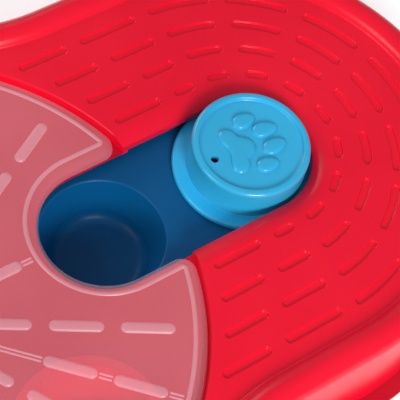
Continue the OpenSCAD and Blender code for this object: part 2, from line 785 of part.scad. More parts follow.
module tray_screws() color("silver") placed() for (e = tray_ears) tray_place(e)
    translate([0, 0, tray_low]) screw(ear_shank, screw_head_h);

module foot(place, on_lobe) color("dimgray") placed() translate([on_lobe ? lobe_x : 0, 0, 0])
    rotate(place[1]) translate([place[0], 0, pan_top - pan_t]) {
        translate([0, 0, -foot_h]) cylinder(r = foot_r, h = foot_h);
        cylinder(r = stem_r, h = pan_t);
        translate([0, 0, pan_t]) cylinder(r1 = barb_r, r2 = barb_tip_r, h = barb_h, $fn = 60);
    }

module foot_1() foot(feet_hub[0], false);
module foot_2() foot(feet_hub[1], false);
module foot_3() foot(feet_hub[2], false);
module foot_4() foot(feet_hub[3], false);
module foot_5() foot(feet_lobe[0], true);
module foot_6() foot(feet_lobe[1], true);

top_shell();
lid_floor();
base_pan();
slide_tray();
button_cap();
button_flange();
button_screws();
disc_lid();
lid_notch_edge();
hub_spindle();
hub_cap();
hub_washer();
hub_post();
hub_screw();
treat_cup_1();
treat_cup_2();
treat_cup_3();
treat_cup_4();
treat_cup_5();
foot_1();
foot_2();
foot_3();
foot_4();
foot_5();
foot_6();
shell_screws();
tray_screws();
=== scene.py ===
# %% [markdown]
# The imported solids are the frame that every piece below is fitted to. Loading them comes first, and
# everything after it reads its places from them.

# %% Load the frame
import math

import bmesh
import bpy
import numpy as np
from mathutils import Matrix, Vector
from mathutils.geometry import delaunay_2d_cdt


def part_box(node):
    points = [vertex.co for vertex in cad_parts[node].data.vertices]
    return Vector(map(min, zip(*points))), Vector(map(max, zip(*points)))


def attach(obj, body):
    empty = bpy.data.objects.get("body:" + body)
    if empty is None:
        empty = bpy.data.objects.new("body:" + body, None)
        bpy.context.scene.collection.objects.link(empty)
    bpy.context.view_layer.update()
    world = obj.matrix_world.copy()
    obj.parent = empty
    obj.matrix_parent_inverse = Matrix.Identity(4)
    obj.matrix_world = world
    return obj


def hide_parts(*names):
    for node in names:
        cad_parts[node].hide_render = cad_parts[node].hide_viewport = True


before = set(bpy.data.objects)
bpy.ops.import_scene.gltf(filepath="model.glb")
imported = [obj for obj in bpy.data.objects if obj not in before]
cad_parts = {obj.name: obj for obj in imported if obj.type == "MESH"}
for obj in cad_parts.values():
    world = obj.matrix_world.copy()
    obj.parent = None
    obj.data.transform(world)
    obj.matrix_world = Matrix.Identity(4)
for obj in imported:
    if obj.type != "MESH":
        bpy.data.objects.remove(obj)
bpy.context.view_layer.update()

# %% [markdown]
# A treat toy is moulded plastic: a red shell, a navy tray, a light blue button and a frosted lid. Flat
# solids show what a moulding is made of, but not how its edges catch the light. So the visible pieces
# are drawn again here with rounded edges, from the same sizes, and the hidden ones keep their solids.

MM = 0.001

# %% [markdown]
# Sizes are in millimetres from the hub of the lid, with heights from the deck. What the frame knows is
# read from it: the hub and the button stand where their solids stand. The well, where the button's
# slide ends, is given as a number.

# %% Where things are


def centre_of(node):
    """Middle of a node's box, in millimetres."""
    low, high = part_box(node)
    return (Vector(low) + Vector(high)) / 2 / MM


def width_of(node):
    """Width of a node's box along Y, in millimetres."""
    low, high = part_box(node)
    return (high[1] - low[1]) / MM


hub_x = centre_of("hub_spindle").x
slot_x = centre_of("button_cap").x - hub_x
well_x = 81.0
rim_h = 4.0
deck_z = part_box("top_shell")[1][2] / MM - rim_h
lid_r = width_of("disc_lid") / 2
flange_r = width_of("button_flange") / 2
cap_foot_r = width_of("button_cap") / 2
print("hub", round(hub_x, 2), "slot", round(slot_x, 2), "well", round(well_x, 2), "deck", round(deck_z, 2))
print("lid radius", round(lid_r, 2), "flange", round(flange_r, 2), "button foot", round(cap_foot_r, 2))

# %% [markdown]
# The body is a keyhole in plan: a disc under the lid, a lobe round the slot, and a hollow bend on each
# side. Its outline is a closed path of stations. Each holds a point and the direction straight out, so
# a section can be carried round it at any distance.

# %% The outline as a path of stations
disc_r = 110.0
lobe_hw = 80.4
lobe_x = 139.5
waist_r = 86.1
waist_y = lobe_hw + waist_r
waist_x = math.sqrt((disc_r + waist_r) ** 2 - waist_y ** 2)
waist_a = math.degrees(math.atan2(waist_y, waist_x))
same_point = 1e-4


def arc(cx, cy, r, start, end, steps, side=1):
    """Stations on an arc, in degrees. side is -1 where straight out means towards the centre."""
    stations = []
    for i in range(steps + 1):
        a = math.radians(start + (end - start) * i / steps)
        c, s = math.cos(a), math.sin(a)
        stations.append((cx + r * c, cy + r * s, side * c, side * s))
    return stations


def without_doubles(points):
    """Drops each point that repeats the one before it. The first is compared with the last."""
    return [p for i, p in enumerate(points) if math.dist(p[:2], points[i - 1][:2]) > same_point]


def outline():
    """Stations round the body, against the clock, at the foot of the rim."""
    path = arc(lobe_x, 0, lobe_hw, -90, 90, 96)
    path += arc(waist_x, waist_y, waist_r, 270, 180 + waist_a, 24, -1)
    path += arc(0, 0, disc_r, waist_a, 360 - waist_a, 150)
    path += arc(waist_x, -waist_y, waist_r, 180 - waist_a, 90, 24, -1)
    return without_doubles(path)


def stadium():
    """Stations of the slot's centre line: every distance from the line is a larger stadium."""
    return arc(slot_x, 0, 0, -90, 90, 48) + arc(well_x, 0, 0, 90, 270, 48)


print("outline stations:", len(outline()))

# %% [markdown]
# A section is a list of points too, (distance out, height). Its round stretches are arcs. Sweeping it
# along a path makes a grid of four-sided faces, which is what smooth shading likes best.

# %% Sections, sweeps and turned forms


def curve(cx, cz, r, start, end, steps=6):
    """Section points on an arc, in degrees."""
    return [(cx + r * math.cos(math.radians(start + (end - start) * i / steps)),
             cz + r * math.sin(math.radians(start + (end - start) * i / steps))) for i in range(steps + 1)]


def skin(bm, rings, closed_path=True, closed_section=True):
    """Joins rings of vertices, one for each station, with four-sided faces."""
    count = len(rings[0])
    followers = rings[1:] + rings[:1] if closed_path else rings[1:]
    for here, there in zip(rings, followers):
        for j in range(count if closed_section else count - 1):
            k = (j + 1) % count
            bm.faces.new((here[j], there[j], there[k], here[k]))
    if not closed_path:
        for end in (rings[0], rings[-1]):
            bm.faces.new(end)
    return rings


def sweep(bm, path, section, closed_section=True):
    """Adds a section swept round a closed path and returns its rings of vertices."""
    rings = [[bm.verts.new((x + nx * o, y + ny * o, z)) for o, z in section] for x, y, nx, ny in path]
    return skin(bm, rings, closed_section=closed_section)


def lathe(bm, cx, cy, section, steps):
    """Adds a section turned about the upright line through (cx, cy). Points at distance 0 close it."""
    path = arc(cx, cy, 0, 0, 360 * (steps - 1) / steps, steps - 1)
    return sweep(bm, path, section, False)


print("points on a quarter round:", len(curve(0, 0, 1, 0, 90)))


# %% [markdown]
# Sunk dashes and raised ribs are both capsules: a spine with round ends. A capsule's loops at several
# widths and heights give it a rounded edge and a flat or domed middle. A flat plate is then filled
# round the widest loops, so plate and capsules are one skin with no seam.

# %% Capsules and filled plates


def straight_spine(ax, ay, bx, by):
    """The two ends of a straight spine, each with the direction to its left."""
    length = math.dist((ax, ay), (bx, by))
    lx, ly = -(by - ay) / length, (bx - ax) / length
    return [(ax, ay, lx, ly), (bx, by, lx, ly)]


def capsule(spine, half, cap_steps=8):
    """Closed loop of (x, y) at a distance from a spine, with round ends."""
    loop = [(x + lx * half, y + ly * half) for x, y, lx, ly in spine]
    for end, turn in ((spine[-1], -1), (spine[0], 1)):
        x, y, lx, ly = end
        for i in range(1, cap_steps):
            a = math.pi * i / cap_steps
            c, s = math.cos(a) * -turn, math.sin(a)
            dx, dy = ly * -turn, -lx * -turn
            loop.append((x + (lx * c + dx * s) * half, y + (ly * c + dy * s) * half))
        if turn == -1:
            loop += [(x - lx * half, y - ly * half) for x, y, lx, ly in reversed(spine)]
    return loop


def ring(bm, loop, z):
    """Adds a loop's vertices at a height."""
    return [bm.verts.new((x, y, z)) for x, y in loop]


def bridge(bm, first, second):
    """Joins two loops of the same length with a band of faces."""
    n = len(first)
    for i in range(n):
        bm.faces.new((first[i], first[(i + 1) % n], second[(i + 1) % n], second[i]))


def stack(bm, loops):
    """Joins (loop, height) pairs in turn, fills the last one, and returns the first ring."""
    rings = [ring(bm, loop, z) for loop, z in loops]
    for a, b in zip(rings, rings[1:]):
        bridge(bm, a, b)
    bm.faces.new(rings[-1])
    return rings[0]


print("points round a capsule:", len(capsule(straight_spine(0, 0, 10, 0), 1)))

# %% [markdown]
# A plate with holes has no simple grid. Blender's constrained Delaunay fill makes triangles between all
# the loops, and a count of the edges crossed from each triangle's middle says which ones are plate.

# %% Plates


def crossings(points, starts, ends):
    """How many of the edges a line from each point towards +X crosses."""
    (px, py), (ax, ay), (bx, by) = (np.array(a).T for a in (points, starts, ends))
    px, py = px[:, None], py[:, None]
    straddles = (ay > py) != (by > py)
    rise = np.where(ay == by, 1.0, by - ay)
    return (straddles & (px < ax + (py - ay) * (bx - ax) / rise)).sum(axis=1)


def plate(bm, outer, holes=()):
    """Fills between an outer ring of vertices and rings inside it, all at one height."""
    verts, edges = [], []
    for loop in [outer, *holes]:
        first = len(verts)
        edges += [(first + i, first + (i + 1) % len(loop)) for i in range(len(loop))]
        verts += loop
    flat = [v.co.xy for v in verts]
    points, _, faces, origins, _, _ = delaunay_2d_cdt(flat, edges, [], 1, 1e-5)
    if len(points) != len(verts):
        raise ValueError("the loops of a plate cross or touch")
    centres = [sum((points[i] for i in face), Vector((0, 0))) / 3 for face in faces]
    counts = crossings(centres, [flat[a] for a, _ in edges], [flat[b] for _, b in edges])
    for face, count in zip(faces, counts):
        if count % 2:
            bm.faces.new([verts[origins[i][0]] for i in face])


square = ((0, 0), (2, 0), (2, 2), (0, 2))
inside_it = crossings([(1, 1)], square, square[1:] + square[:1])[0]
print("edges of a square to the right of its middle:", inside_it)

# %% [markdown]
# Each form becomes one object in metres. It gets smooth shading with sharp edges by angle, rides on a
# body, and hides the solids that it stands for.

# %% From a form to a piece
merge = 1e-4


def piece(name, bm, body, nodes, sharp=40):
    """Turns bm into a smooth object in the frame that rides on a body and stands for its nodes."""
    bmesh.ops.remove_doubles(bm, verts=bm.verts, dist=merge)
    bmesh.ops.recalc_face_normals(bm, faces=bm.faces)
    bm.transform(Matrix.Scale(MM, 4) @ Matrix.Translation((hub_x, 0, deck_z)))
    mesh = bpy.data.meshes.new(name)
    bm.to_mesh(mesh)
    bm.free()
    mesh.shade_smooth()
    mesh.set_sharp_from_angle(angle=math.radians(sharp))
    made = bpy.data.objects.new(name, mesh)
    bpy.context.scene.collection.objects.link(made)
    even = made.modifiers.new("even_normals", "WEIGHTED_NORMAL")
    even.keep_sharp = True
    even.weight = 80
    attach(made, body)
    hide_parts(*nodes)
    print(name, len(mesh.vertices), "points", len(mesh.polygons), "faces")
    return made


# %% [markdown]
# The rim is a thick roll that rises out of the deck with a small hollow round at its foot, turns over
# and runs down into a slightly flared skirt. The photograph shows it as a broad band with one long
# highlight, so its section needs many points on the roll and few on the skirt.

# %% Rim and skirt of the shell
wall = 2.5
rim_r = 6.3
foot_round = 1.2
skirt_flare = 3.3
skirt_round = 0.5
pan_top = 4.0 - deck_z
rim_cz = rim_h - rim_r
rim_cx = math.sqrt(rim_r ** 2 - rim_cz ** 2)
rim_out = rim_cx + rim_r
skirt_out = rim_out + skirt_flare
foot_x = rim_cx - math.sqrt((rim_r + foot_round) ** 2 - (foot_round - rim_cz) ** 2)
foot_a = math.degrees(math.atan2(foot_round - rim_cz, foot_x - rim_cx))


def rim_section():
    """Closed section of the rim and skirt, from the deck over the roll, down and back up inside."""
    flare_a = math.degrees(math.atan2(skirt_flare, rim_cz - pan_top))
    points = curve(foot_x, foot_round, foot_round, -90, foot_a - 180, 6)
    points += curve(rim_cx, rim_cz, rim_r, foot_a, flare_a, 28)
    points += curve(skirt_out - skirt_round, pan_top + skirt_round, skirt_round, 0, -90, 4)
    points += [(skirt_out - wall, pan_top), (rim_out - wall, rim_cz)]
    points += curve(rim_cx, rim_cz, rim_r - wall, 0, 180, 12)
    points += [(rim_cx - rim_r + wall, -wall), (foot_x, -wall)]
    return without_doubles(points)


bm = bmesh.new()
sweep(bm, outline(), rim_section())
shell_rim = piece("shell_rim", bm, "toy_body", ["top_shell"])

# %% [markdown]
# The slot's edge rolls down out of the deck and ends in an upright lip. Where the lid's recess cuts
# through it, each line of the roll stops where the recess's own rounded edge is at the same height,
# so the two rolls meet in a clean mitre.

# %% Sizes of the slot's roll and the recess's edge
slot_hw = 24.6
roll_w = 7.9
roll_r = 12.5
roll_drop = roll_r - math.sqrt(roll_r ** 2 - roll_w ** 2)
lip_h = 3.0
lip_z = -roll_drop - lip_h
lip_round = 0.7
lip_foot = 0.5
recess_r = lid_r + 0.53
recess_round = 1.0
recess_z = -5.3
recess_steps = 220
slot_end_steps = 72
print("the slot's roll drops", round(roll_drop, 2), "and the recess has a radius of", round(recess_r, 2))

# %% How they fall away, and the slot's edge


def recess_reach(z):
    """Distance from the hub at which the recess's rounded edge has come down to a height."""
    if z <= -recess_round:
        return recess_r
    return recess_r + recess_round - math.sqrt(recess_round ** 2 - (recess_round + z) ** 2)


def roll_reach(z):
    """Distance from the slot's line at which its roll has come down to a height."""
    if z <= -roll_drop:
        return slot_hw
    return slot_hw + roll_w - math.sqrt(roll_r ** 2 - (roll_r + z) ** 2)


def roll_section():
    """Closed section of the slot's edge: distance from the slot's line, and height."""
    low_a = 180 - math.degrees(math.acos(roll_w / roll_r))
    points = curve(slot_hw + roll_w, -roll_r, roll_r, 90, low_a - 2, 12)
    points += curve(slot_hw + lip_round, -roll_drop - lip_round * 0.6, lip_round, 125, 180, 4)
    points += curve(slot_hw + lip_foot, lip_z + lip_foot, lip_foot, 180, 270, 4)
    points += [(slot_hw + wall, lip_z), (slot_hw + wall, -roll_drop - wall), (slot_hw + roll_w, -wall)]
    return without_doubles(points)


def slot_edge(bm):
    """The slot's edge: a sweep round the outer end whose straight arms stop at the recess."""
    section = roll_section()
    arms = []
    for side in (-1, 1):
        arms.append([(math.sqrt(recess_reach(z) ** 2 - d ** 2), side * d, z) for d, z in section])
    rings = [[bm.verts.new(p) for p in arms[0]]]
    for x, y, nx, ny in arc(slot_x, 0, 0, -90, 90, slot_end_steps):
        rings.append([bm.verts.new((x + nx * d, y + ny * d, z)) for d, z in section])
    rings.append([bm.verts.new(p) for p in arms[1]])
    skin(bm, rings, closed_path=False)


bm = bmesh.new()
slot_edge(bm)
shell_slot_edge = piece("shell_slot_edge", bm, "toy_body", ["top_shell"], 55)

# %% [markdown]
# The recess that holds the lid is a ring with a rounded edge. It is open where the slot runs through,
# and each height of it stops at the roll's own line, which gives the other half of the mitre.

# %% The recess that holds the lid


def recess_ring(bm):
    """Rounded edge, wall and foot of the lid's recess, as a closed ring that is open at the slot."""
    section = curve(recess_r + recess_round, -recess_round, recess_round, 90, 180, 6)
    section += [(recess_r, recess_z - wall), (recess_r + wall, recess_z - wall), (recess_r + wall, -wall)]
    section += [(recess_r + recess_round, -wall)]
    starts = [math.degrees(math.asin(roll_reach(z) / r)) for r, z in section]
    rings = []
    for i in range(recess_steps + 1):
        part = i / recess_steps
        row = []
        for (r, z), start in zip(section, starts):
            a = math.radians(start + (360 - 2 * start) * part)
            row.append(bm.verts.new((r * math.cos(a), r * math.sin(a), z)))
        rings.append(row)
    skin(bm, rings, closed_path=False)


bm = bmesh.new()
recess_ring(bm)
shell_recess_edge = piece("shell_recess_edge", bm, "toy_body", ["top_shell"], 55)

# %% [markdown]
# The deck is the flat skin between rim, slot and recess. Its dashes follow the slot: short straight
# ones along its sides, then curved ones round its end. Each is a little sunk tray with a rounded edge,
# because that edge is what draws the thin bright line that the photograph shows round every dash.

# %% Deck with its sunk dashes
row_1 = 34.5
row_pitch = 12.3
row_count = 4
dash_w = 3.3
dash_depth = 0.9
dash_gap = 6.4
end_dashes = 7
dash_lean = 23.4
dash_margin = 5.0
dash_edge = 0.3
dash_foot = 0.3
foot_inset = 0.05
thinnest = 0.2


def row_x(d):
    """Centre of a dash row's round end: it eases from the slot's end to the lobe's end."""
    return slot_x + (lobe_x - slot_x) * (d - row_1) / (lobe_hw - row_1)


def dash_spines():
    """Spines of every dash on the deck."""
    spines = []
    half = (dash_gap + dash_w) / 2
    step = 180 / end_dashes
    for i in range(row_count):
        d = row_1 + i * row_pitch
        c = row_x(d)
        half_a = math.degrees(math.asin(half / d))
        for k in range(end_dashes):
            spines.append(arc(c, 0, d, -90 + k * step + half_a, -90 + (k + 1) * step - half_a, 14, -1))
        start = math.sqrt((recess_r + dash_margin) ** 2 - d * d) + dash_w / 2
        lean_x = c - d * math.tan(math.radians(dash_lean))
        for side in (-1, 1):
            spines.append(straight_spine(start, side * d, lean_x - half, side * d))
            if lean_x + half < c - half:
                spines.append(straight_spine(lean_x + half, side * d, c - half, side * d))
    return spines


def sunk_dash(bm, spine):
    """A sunk capsule with a rounded edge. Returns its loop at the deck's height."""
    half = dash_w / 2
    section = curve(half + dash_edge, -dash_edge, dash_edge, 90, 170, 4)
    section += curve(half - dash_foot - foot_inset, -dash_depth + dash_foot, dash_foot, 0, -90, 4)
    return stack(bm, [(capsule(spine, max(w, thinnest)), z) for w, z in section])


def deck_inner_loop():
    """Edge of the deck along the slot's roll and round the recess."""
    d, r = slot_hw + roll_w, recess_r + recess_round
    start = math.degrees(math.asin(d / r))
    loop = [p[:2] for p in arc(0, 0, r, start, 360 - start, recess_steps)]
    loop += [(x + nx * d, y + ny * d) for x, y, nx, ny in arc(slot_x, 0, 0, -90, 90, slot_end_steps)]
    return loop


bm = bmesh.new()
outer_loop = [(x + nx * foot_x, y + ny * foot_x) for x, y, nx, ny in outline()]
outer_top, inner_top = ring(bm, outer_loop, 0), ring(bm, deck_inner_loop(), 0)
outer_low, inner_low = ring(bm, outer_loop, -wall), ring(bm, deck_inner_loop(), -wall)
dash_tops = [sunk_dash(bm, spine) for spine in dash_spines()]
plate(bm, outer_top, [inner_top] + dash_tops)
plate(bm, outer_low, [inner_low])
bridge(bm, outer_top, outer_low)
bridge(bm, inner_top, inner_low)
print("dashes:", len(dash_tops))
shell_deck = piece("shell_deck", bm, "toy_body", ["top_shell"], 40)

# %% [markdown]
# The floor under the lid is a flat plate with five round holes, each with a seat for a cup's lip. The
# guide rails hang under the slot's edges and keep the button's flange down. They barely show, so a
# plain section swept round the slot does for them.

# %% Floor of the recess and the guide rails
cup_circle_r = 74.0
cup_pitch = 60
cup_count = 5
cup_hole_r = 25.7
cup_seat_r = 27.7
cup_lip_t = 1.2
rail_in = 26.0
rail_t = 1.6
rail_z = -9.2
rail_top = -wall - 2.9
floor_lap = 0.6

bm = bmesh.new()
reach = math.degrees(math.asin(slot_hw / recess_r))
floor_loop = [p[:2] for p in arc(0, 0, recess_r + floor_lap, reach, 360 - reach, 160)]
floor_loop += [p[:2] for p in reversed(arc(well_x, 0, slot_hw, 90, 270, 40))]
floor_top, floor_low = ring(bm, floor_loop, recess_z), ring(bm, floor_loop, recess_z - wall)
hole_tops, hole_lows = [], []
for k in range(1, cup_count + 1):
    a = math.radians(k * cup_pitch)
    cx, cy = cup_circle_r * math.cos(a), cup_circle_r * math.sin(a)
    seat = [p[:2] for p in arc(cx, cy, cup_seat_r, 0, 354, 59)]
    hole = [p[:2] for p in arc(cx, cy, cup_hole_r, 0, 354, 59)]
    rings = [ring(bm, loop, z) for loop, z in (
        (seat, recess_z), (seat, recess_z - cup_lip_t),
        (hole, recess_z - cup_lip_t), (hole, recess_z - wall))]
    for upper, lower in zip(rings, rings[1:]):
        bridge(bm, upper, lower)
    hole_tops.append(rings[0])
    hole_lows.append(rings[-1])
plate(bm, floor_top, hole_tops)
plate(bm, floor_low, hole_lows)
bridge(bm, floor_top, floor_low)
shell_floor = piece("shell_floor", bm, "toy_body", ["lid_floor"])

bm = bmesh.new()
rail = [(rail_in, rail_z), (rail_in + rail_t, rail_z), (rail_in + rail_t, rail_top), (rail_in, rail_top)]
sweep(bm, stadium(), rail)
shell_rails = piece("shell_rails", bm, "toy_body", ["top_shell"])

# %% [markdown]
# The tray is one dark blue moulding: a flat channel that the button's flange lies on, and a round well
# at its inner end. A real moulding has no knife edges, so the well's mouth turns over with a small
# round, and its wall runs into its floor with a wide one. Both show as faint light arcs.

# %% Tray with its channel and well
channel_z = -12.0
channel_hw = flange_r + 1.0
tray_t = 2.0
tray_top = recess_z - wall
mouth_r = 23.4
mouth_round = 1.1
well_low_r = 19.0
well_foot = 5.0
well_z = channel_z - 18.5

bm = bmesh.new()
inner_foot = 1.0
side = curve(channel_hw - inner_foot, channel_z + inner_foot, inner_foot, -90, 0, 5)
side += [(channel_hw, tray_top), (channel_hw + tray_t, tray_top), (channel_hw + tray_t, channel_z - tray_t)]
rings = sweep(bm, stadium(), side, False)
mouth_steps = 96
mouth = curve(mouth_r + mouth_round, channel_z - mouth_round, mouth_round, 90, 180, 6)
mouth += curve(well_low_r - well_foot, well_z + well_foot, well_foot, 0, -90, 10)
mouth += [(0.0, well_z)]
well_rings = lathe(bm, well_x, 0, mouth, mouth_steps)
plate(bm, [r[0] for r in rings], [[r[0] for r in well_rings]])
under = [(mouth_r + tray_t, channel_z - tray_t), (well_low_r + tray_t, well_z + well_foot)]
under += curve(well_low_r - well_foot, well_z + well_foot, well_foot + tray_t, 0, -90, 10)[1:]
under += [(0.0, well_z - tray_t)]
under_rings = lathe(bm, well_x, 0, under, mouth_steps)
plate(bm, [r[-1] for r in rings], [[r[0] for r in under_rings]])
tray_skin = piece("tray_skin", bm, "toy_body", ["slide_tray"], 50)

# %% [markdown]
# The button is a hollow cap on a thin flange. Its rim is a soft roll round a dished top, with a drain
# hole and a raised paw print. The paw is a plain one, four drop-shaped toes and a three-lobed pad, and
# each pad is a low pillow.

# %% Sizes of the button
cap_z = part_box("button_cap")[1][2] / MM - deck_z
cap_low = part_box("button_cap")[0][2] / MM - deck_z
cap_r = cap_foot_r - 0.3
cap_round = 1.5
cap_wall = 2.2
rim_w = 2.9
rim_in_round = 0.7
dish_z = cap_z - 1.3
dish_round = 0.5
drain_x = 15.6
drain_y = 1.3
drain_r = 1.5
paw_turn = -8
paw_h = 1.3
toe_taper = 0.24
pad_y = -0.3
round_steps = 120
print("top of the button", round(cap_z, 2), "dish", round(dish_z, 2))

# %% Shapes of the paw print


def egg(cx, cy, turn, length, width, steps=32):
    """Loop of a drop shape: blunt behind, narrow in front."""
    loop = []
    t = math.radians(turn)
    for i in range(steps):
        a = 2 * math.pi * i / steps
        x = length / 2 * math.cos(a)
        y = width / 2 * math.sin(a) * (1 - toe_taper * math.cos(a))
        loop.append((cx + x * math.cos(t) - y * math.sin(t), cy + x * math.sin(t) + y * math.cos(t)))
    return loop


def between(p0, p1, p2, p3, t):
    """A smooth step from p1 to p2 whose slopes follow the points before and after them."""
    slope = p2 - p0
    bend = 2 * p0 - 5 * p1 + 4 * p2 - p3
    twist = 3 * (p1 - p2) + p3 - p0
    return p1 + 0.5 * t * (slope + t * (bend + t * twist))


def smooth_loop(points, steps=5):
    """A closed curve through the given points."""
    loop = []
    for i in range(len(points)):
        four = [points[(i + k) % len(points)] for k in (-1, 0, 1, 2)]
        for j in range(steps):
            loop.append(tuple(between(*(p[n] for p in four), j / steps) for n in (0, 1)))
    return loop


def pad_loop():
    """Loop of the paw's main pad: a wide bar with a lobe to the front and one to each side."""
    half = [(1.5, 0.0), (0.7, 2.5), (-1.5, 4.2), (-3.6, 5.8), (-4.4, 8.1), (-6.4, 9.8)]
    half += [(-9.2, 9.9), (-11.0, 7.8), (-10.9, 5.0), (-10.0, 2.2), (-9.8, 0.0)]
    return smooth_loop(half + [(x, -y) for x, y in half[-2:0:-1]])


def shrunk(loop, share):
    """A loop drawn in towards its middle."""
    mx, my = (sum(p[i] for p in loop) / len(loop) for i in (0, 1))
    return [(mx + (x - mx) * share, my + (y - my) * share) for x, y in loop]


def pillow(bm, loop, z, height):
    """A low pillow on a plate. Returns its loop at the plate's height."""
    levels = [(1.0, 0.0), (0.97, 0.12), (0.945, 0.34), (0.91, 0.58)]
    levels += [(0.85, 0.78), (0.74, 0.91), (0.5, 0.985), (0.2, 1.0)]
    return stack(bm, [(shrunk(loop, share), z + h * height) for share, h in levels])


def paw_loops():
    """The paw print: four toes and the pad, turned a little on the button."""
    toes = [(1.6, 10.3, 5, 9.8, 6.2), (7.6, 4.2, -4, 10.6, 6.2)]
    toes += [(8.1, -3.6, 8, 10.6, 6.2), (2.2, -10.1, -3, 9.6, 5.8)]
    loops = [egg(*toe) for toe in toes]
    loops.append([(x, y + pad_y) for x, y in pad_loop()])
    c, s = math.cos(math.radians(paw_turn)), math.sin(math.radians(paw_turn))
    return [[(slot_x + x * c - y * s, x * s + y * c) for x, y in loop] for loop in loops]


print("points on the pad:", len(pad_loop()))

# %% Button cap
bm = bmesh.new()
outside = [(cap_foot_r, cap_low), (cap_r + 0.02, cap_z - cap_round)]
outside += curve(cap_r - cap_round, cap_z - cap_round, cap_round, 4, 90, 8)
outside += curve(cap_r - rim_w + rim_in_round, cap_z - rim_in_round, rim_in_round, 90, 165, 5)
outside += curve(cap_r - rim_w - 0.62, dish_z + dish_round, dish_round, -10, -90, 5)
cap_rings = lathe(bm, slot_x, 0, without_doubles(outside), round_steps)
paws = [pillow(bm, loop, dish_z, paw_h) for loop in paw_loops()]
drain_wall = [(drain_r + 0.25, dish_z), (drain_r + 0.07, dish_z - 0.07)]
drain_wall += [(drain_r, dish_z - 0.3), (drain_r, dish_z - cap_wall)]
drain_rings = lathe(bm, slot_x - drain_x, drain_y, drain_wall, 36)
plate(bm, [r[-1] for r in cap_rings], paws + [[r[0] for r in drain_rings]])
inside = [(cap_r - cap_wall, cap_low), (cap_r - cap_wall, dish_z - cap_wall)]
in_rings = lathe(bm, slot_x, 0, inside, round_steps)
plate(bm, [r[-1] for r in in_rings], [[r[-1] for r in drain_rings]])
plate(bm, [r[0] for r in cap_rings], [[r[0] for r in in_rings]])
cap_skin = piece("cap_skin", bm, "button", ["button_cap"], 50)

# %% [markdown]
# The flange is a turned disc. Its upper edge is rounder than its lower one, since that edge is seen, and
# a small step up under the cap gives the joint between the two its soft shadow.

# %% Button flange
flange_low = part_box("button_flange")[0][2] / MM - deck_z
flange_top = cap_low
flange_round = 1.1
under_round = 0.6
step_h = 0.25

bm = bmesh.new()
section = [(0.0, flange_low)]
section += curve(flange_r - under_round, flange_low + under_round, under_round, -90, 0, 4)
section += curve(flange_r - flange_round, flange_top - flange_round, flange_round, 0, 90, 6)
section += [(cap_foot_r + 0.8, flange_top), (cap_foot_r + 0.12, flange_top + 0.15)]
section += [(cap_foot_r - 0.6, flange_top + step_h), (0.0, flange_top + step_h)]
lathe(bm, slot_x, 0, section, round_steps)
flange_skin = piece("flange_skin", bm, "button", ["button_flange", "button_screws"], 40)

# %% [markdown]
# The lid is a thin frosted plate whose edge rolls down all round, along the outside and into the notch.
# The plate's top carries raised dashes and thin double ribs, like a sun with its rays. Its outline is a
# path again: a long arc, a small round corner, a straight, and the notch's own arc.

# %% Outline of the lid
notch_hw = 23.9
corner_r = 6.0
lid_t = 2.0
edge_r = 5.0
bead_r = 0.9
lid_foot = 0.35
plate_in = 0.15
corner_y = notch_hw + corner_r
corner_x = math.sqrt((lid_r - corner_r) ** 2 - corner_y ** 2)
corner_a = math.degrees(math.atan2(corner_y, corner_x))


def lid_outline():
    """Stations round the lid's edge. Straight out means out of the plate, also inside the notch."""
    path = arc(0, 0, lid_r, corner_a, 360 - corner_a, 220)
    path += arc(corner_x, -corner_y, corner_r, -corner_a, 90, 16)
    path += arc(well_x, 0, notch_hw, 270, 90, 60, -1)
    path += arc(corner_x, corner_y, corner_r, -90, corner_a, 16)
    return without_doubles(path)


def lid_section():
    """Open section of the lid's edge, from the plate's top over the bead and roll to the underside."""
    points = [(-corner_r + plate_in, 0.0)]
    points += curve(-edge_r, -bead_r / 2, bead_r, 149, 50, 8)
    points += curve(-edge_r, -edge_r, edge_r, 80, 4, 12)
    points += curve(-lid_foot, -edge_r + lid_foot, lid_foot, 0, -90, 3)
    points += curve(-lid_t + lid_foot, -edge_r + lid_foot, lid_foot, -90, -180, 3)
    points += curve(-edge_r, -edge_r, edge_r - lid_t, 4, 90, 10)
    points += [(-corner_r + plate_in, -lid_t)]
    return without_doubles(points)


print("stations round the lid:", len(lid_outline()))

# %% [markdown]
# The rows of dashes are rays from the hub. Every third row also has a double rib, two thin lines side
# by side, which stops short of each dash. The row towards the notch is shorter than the others.

# %% Sizes of the dashes and ribs
lid_rows = 24
row_turn = -0.8
rib_every = 3
rib_side = 0.7
rib_w = 0.6
rib_h = 0.5
lid_hub_r = 15.0
lid_hub_top = 0.8
lid_hub_low = -4.25
bore_r = 6.06
lid_dash_l = 19.0
lid_dash_gap = 6.0
lid_dash_w = 4.0
lid_dash_h = 0.8
lid_dash_r = 94.0
lid_first = lid_hub_r + 10
foot_w = 0.15
rib_foot_gap = 2.3
rib_end_gap = 0.6
shortest_rib = 1.5
print("turn from row to row:", 360 / lid_rows, "degrees")

# %% Rays of the lid


def ray(k, near, far, side=0.0):
    """Spine along a radial line of the lid, between two distances from the hub."""
    a = math.radians(row_turn + k * 360 / lid_rows)
    c, s = math.cos(a), math.sin(a)
    return straight_spine(near * c - side * s, near * s + side * c, far * c - side * s, far * s + side * c)


def raised(bm, spine, width, height):
    """A raised capsule with a hollow foot and a round top. Returns its loop on the plate."""
    half = width / 2
    section = [(half + foot_w, 0.0), (half, 0.06), (half - 0.12, height * 0.4)]
    section += [(half - 0.4, height * 0.75), (half * 0.6, height * 0.93), (half * 0.2, height)]
    return stack(bm, [(capsule(spine, w), z) for w, z in section])


def thin_rib(bm, spine):
    """One line of a rib: a low capsule with a round top. Returns its loop on the plate."""
    half = rib_w / 2
    section = [(half + foot_w, 0.0), (half, rib_h * 0.3), (half * 0.7, rib_h * 0.8), (half * 0.25, rib_h)]
    return stack(bm, [(capsule(spine, w, 4), z) for w, z in section])


